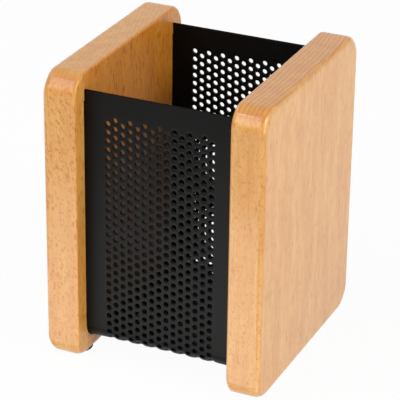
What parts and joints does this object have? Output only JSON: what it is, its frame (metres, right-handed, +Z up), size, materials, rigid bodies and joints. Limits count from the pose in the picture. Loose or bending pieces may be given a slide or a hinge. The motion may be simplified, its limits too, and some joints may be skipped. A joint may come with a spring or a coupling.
{
  "type": "pen holder",
  "caption": "Desk pen holder: perforated sheet steel bent into a U between two thick wooden side panels, open at the top, on thin foot pads.",
  "frame": {"origin": "on the table, under the middle of the holder", "axes": "+Z up, +X to the right seen from the front, +Y to the back"},
  "size_m": [0.077, 0.0794, 0.103],
  "materials": {
    "beech": "satin clear lacquer",
    "black_coating": "fine matt powder coat",
    "black_rubber": "matt"
  },
  "bodies": {
    "root": {"side_panel_left": "beech", "side_panel_right": "beech", "perforated_sheet": "black_coating", "foot_pad_front_left": "black_rubber", "foot_pad_front_right": "black_rubber", "foot_pad_back_left": "black_rubber", "foot_pad_back_right": "black_rubber"}
  },
  "joints": []
}
